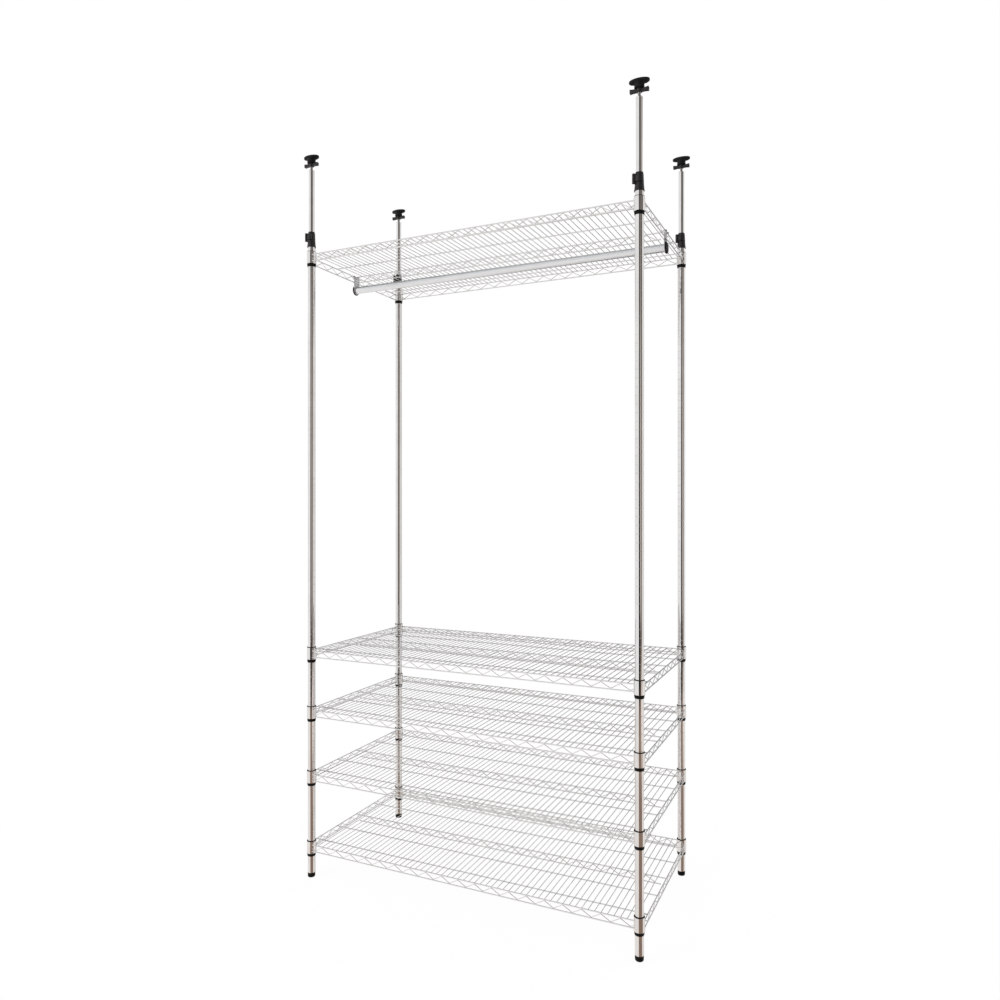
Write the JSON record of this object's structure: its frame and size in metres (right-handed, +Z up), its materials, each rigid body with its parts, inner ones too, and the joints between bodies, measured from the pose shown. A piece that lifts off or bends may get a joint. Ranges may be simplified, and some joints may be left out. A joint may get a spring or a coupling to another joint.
{
  "type": "wire shelving unit",
  "caption": "Tall chrome wire shelving unit with low shelves, a hanger bar under the top shelf and telescopic poles that jack against the ceiling.",
  "frame": {"origin": "on the floor under the middle of the unit", "axes": "+Z up, X along the shelves, -Y the front"},
  "size_m": [1.218, 0.5884, 2.494],
  "materials": {
    "post_chrome": "bright chrome plate on tube",
    "wire_chrome": "bright chrome plate on wire",
    "bar_chrome": "bright chrome plate on tube",
    "bracket_chrome": "chrome plate on pressed steel",
    "sleeve_plastic": "black moulded plastic",
    "clamp_plastic": "black moulded plastic",
    "handle_plastic": "black moulded plastic",
    "pad_plastic": "black soft-touch plastic",
    "foot_plastic": "black moulded plastic",
    "cap_plastic": "black moulded plastic"
  },
  "bodies": {
    "frame": {"shelf_1": "wire_chrome", "shelf_2": "wire_chrome", "shelf_3": "wire_chrome", "shelf_4": "wire_chrome", "shelf_5": "wire_chrome", "hanger_bar": "bar_chrome", "bar_bracket_left": "bracket_chrome", "bar_cap_left": "cap_plastic", "bar_bracket_right": "bracket_chrome", "bar_cap_right": "cap_plastic", "post_front_left": "post_chrome", "sleeve_1_front_left": "sleeve_plastic", "sleeve_2_front_left": "sleeve_plastic", "sleeve_3_front_left": "sleeve_plastic", "sleeve_4_front_left": "sleeve_plastic", "sleeve_5_front_left": "sleeve_plastic", "clamp_front_left": "clamp_plastic", "post_front_right": "post_chrome", "sleeve_1_front_right": "sleeve_plastic", "sleeve_2_front_right": "sleeve_plastic", "sleeve_3_front_right": "sleeve_plastic", "sleeve_4_front_right": "sleeve_plastic", "sleeve_5_front_right": "sleeve_plastic", "clamp_front_right": "clamp_plastic", "post_back_left": "post_chrome", "sleeve_1_back_left": "sleeve_plastic", "sleeve_2_back_left": "sleeve_plastic", "sleeve_3_back_left": "sleeve_plastic", "sleeve_4_back_left": "sleeve_plastic", "sleeve_5_back_left": "sleeve_plastic", "clamp_back_left": "clamp_plastic", "post_back_right": "post_chrome", "sleeve_1_back_right": "sleeve_plastic", "sleeve_2_back_right": "sleeve_plastic", "sleeve_3_back_right": "sleeve_plastic", "sleeve_4_back_right": "sleeve_plastic", "sleeve_5_back_right": "sleeve_plastic", "clamp_back_right": "clamp_plastic"},
    "foot_front_left": {"foot_front_left": "foot_plastic"},
    "clamp_lever_front_left": {"clamp_lever_front_left": "clamp_plastic"},
    "pole_front_left": {"pole_front_left": "post_chrome"},
    "ceiling_pad_front_left": {"ceiling_pad_front_left": "pad_plastic"},
    "jack_handle_front_left": {"jack_handle_front_left": "handle_plastic"},
    "foot_front_right": {"foot_front_right": "foot_plastic"},
    "clamp_lever_front_right": {"clamp_lever_front_right": "clamp_plastic"},
    "pole_front_right": {"pole_front_right": "post_chrome"},
    "ceiling_pad_front_right": {"ceiling_pad_front_right": "pad_plastic"},
    "jack_handle_front_right": {"jack_handle_front_right": "handle_plastic"},
    "foot_back_left": {"foot_back_left": "foot_plastic"},
    "clamp_lever_back_left": {"clamp_lever_back_left": "clamp_plastic"},
    "pole_back_left": {"pole_back_left": "post_chrome"},
    "ceiling_pad_back_left": {"ceiling_pad_back_left": "pad_plastic"},
    "jack_handle_back_left": {"jack_handle_back_left": "handle_plastic"},
    "foot_back_right": {"foot_back_right": "foot_plastic"},
    "clamp_lever_back_right": {"clamp_lever_back_right": "clamp_plastic"},
    "pole_back_right": {"pole_back_right": "post_chrome"},
    "ceiling_pad_back_right": {"ceiling_pad_back_right": "pad_plastic"},
    "jack_handle_back_right": {"jack_handle_back_right": "handle_plastic"}
  },
  "joints": [
    {"name": "foot_adjust_front_left", "type": "slide", "parent": "frame", "child": "foot_front_left", "axis": [0, 0, 1], "range_m": [-0.012, 0]},
    {"name": "lever_swing_front_left", "type": "hinge", "parent": "frame", "child": "clamp_lever_front_left", "pos_m": [-0.59195, -0.2905, 2.2112], "axis": [0, 0, -1], "range_deg": [0, 105]},
    {"name": "pole_slide_front_left", "type": "slide", "parent": "frame", "child": "pole_front_left", "axis": [0, 0, 1], "range_m": [-0.18, 0.2]},
    {"name": "pad_lift_front_left", "type": "slide", "parent": "pole_front_left", "child": "ceiling_pad_front_left", "axis": [0, 0, 1], "range_m": [-0.006, 0.021]},
    {"name": "handle_turn_front_left", "type": "hinge", "parent": "ceiling_pad_front_left", "child": "jack_handle_front_left", "pos_m": [-0.579, -0.278, 2.464], "axis": [0, 0, 1], "range_deg": [-1450, 5050]},
    {"name": "foot_adjust_front_right", "type": "slide", "parent": "frame", "child": "foot_front_right", "axis": [0, 0, 1], "range_m": [-0.012, 0]},
    {"name": "lever_swing_front_right", "type": "hinge", "parent": "frame", "child": "clamp_lever_front_right", "pos_m": [0.56605, -0.2905, 2.2112], "axis": [0, 0, -1], "range_deg": [0, 105]},
    {"name": "pole_slide_front_right", "type": "slide", "parent": "frame", "child": "pole_front_right", "axis": [0, 0, 1], "range_m": [-0.18, 0.2]},
    {"name": "pad_lift_front_right", "type": "slide", "parent": "pole_front_right", "child": "ceiling_pad_front_right", "axis": [0, 0, 1], "range_m": [-0.006, 0.021]},
    {"name": "handle_turn_front_right", "type": "hinge", "parent": "ceiling_pad_front_right", "child": "jack_handle_front_right", "pos_m": [0.579, -0.278, 2.464], "axis": [0, 0, 1], "range_deg": [-1450, 5050]},
    {"name": "foot_adjust_back_left", "type": "slide", "parent": "frame", "child": "foot_back_left", "axis": [0, 0, 1], "range_m": [-0.012, 0]},
    {"name": "lever_swing_back_left", "type": "hinge", "parent": "frame", "child": "clamp_lever_back_left", "pos_m": [-0.59195, 0.2655, 2.2112], "axis": [0, 0, -1], "range_deg": [0, 105]},
    {"name": "pole_slide_back_left", "type": "slide", "parent": "frame", "child": "pole_back_left", "axis": [0, 0, 1], "range_m": [-0.18, 0.2]},
    {"name": "pad_lift_back_left", "type": "slide", "parent": "pole_back_left", "child": "ceiling_pad_back_left", "axis": [0, 0, 1], "range_m": [-0.006, 0.021]},
    {"name": "handle_turn_back_left", "type": "hinge", "parent": "ceiling_pad_back_left", "child": "jack_handle_back_left", "pos_m": [-0.579, 0.278, 2.464], "axis": [0, 0, 1], "range_deg": [-1450, 5050]},
    {"name": "foot_adjust_back_right", "type": "slide", "parent": "frame", "child": "foot_back_right", "axis": [0, 0, 1], "range_m": [-0.012, 0]},
    {"name": "lever_swing_back_right", "type": "hinge", "parent": "frame", "child": "clamp_lever_back_right", "pos_m": [0.56605, 0.2655, 2.2112], "axis": [0, 0, -1], "range_deg": [0, 105]},
    {"name": "pole_slide_back_right", "type": "slide", "parent": "frame", "child": "pole_back_right", "axis": [0, 0, 1], "range_m": [-0.18, 0.2]},
    {"name": "pad_lift_back_right", "type": "slide", "parent": "pole_back_right", "child": "ceiling_pad_back_right", "axis": [0, 0, 1], "range_m": [-0.006, 0.021]},
    {"name": "handle_turn_back_right", "type": "hinge", "parent": "ceiling_pad_back_right", "child": "jack_handle_back_right", "pos_m": [0.579, 0.278, 2.464], "axis": [0, 0, 1], "range_deg": [-1450, 5050]}
  ],
  "couplings": [
    {"joint": "handle_turn_front_left", "follows": "pad_lift_front_left", "rad_per_m": 4188.8},
    {"joint": "handle_turn_front_right", "follows": "pad_lift_front_right", "rad_per_m": 4188.8},
    {"joint": "handle_turn_back_left", "follows": "pad_lift_back_left", "rad_per_m": 4188.8},
    {"joint": "handle_turn_back_right", "follows": "pad_lift_back_right", "rad_per_m": 4188.8}
  ]
}
